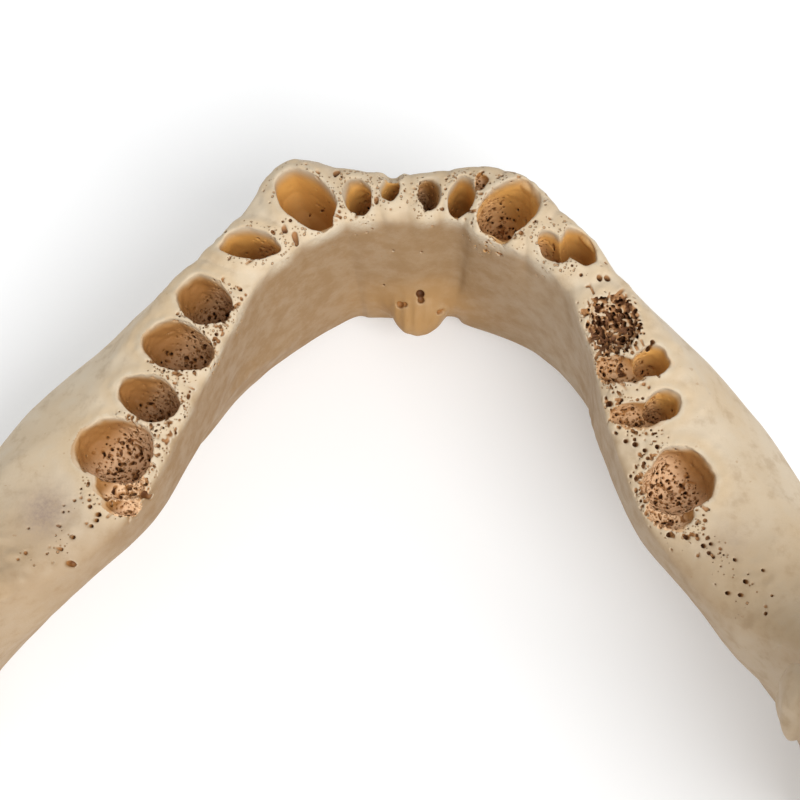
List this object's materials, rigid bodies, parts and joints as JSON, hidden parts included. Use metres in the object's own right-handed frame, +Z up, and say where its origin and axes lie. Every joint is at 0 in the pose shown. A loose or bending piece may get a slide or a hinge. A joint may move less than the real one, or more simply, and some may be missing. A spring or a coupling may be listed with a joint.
{
  "type": "human mandible with empty tooth sockets",
  "caption": "Adult human lower jawbone, dried and cleaned, with all teeth gone and open sockets along the rim. A still display model that rests on its chin and angles.",
  "frame": {"origin": "centre of the bounding box in plan, on the table that the jaw rests on", "axes": "+X to the jaw's own left, across the condyles; +Y back from the chin to the condyles, so the chin faces -Y; +Z up from the table"},
  "size_m": [0.121, 0.1027, 0.0607],
  "materials": {
    "dry_bone": "matte"
  },
  "bodies": {
    "root": {"mandible": "dry_bone"}
  },
  "joints": []
}
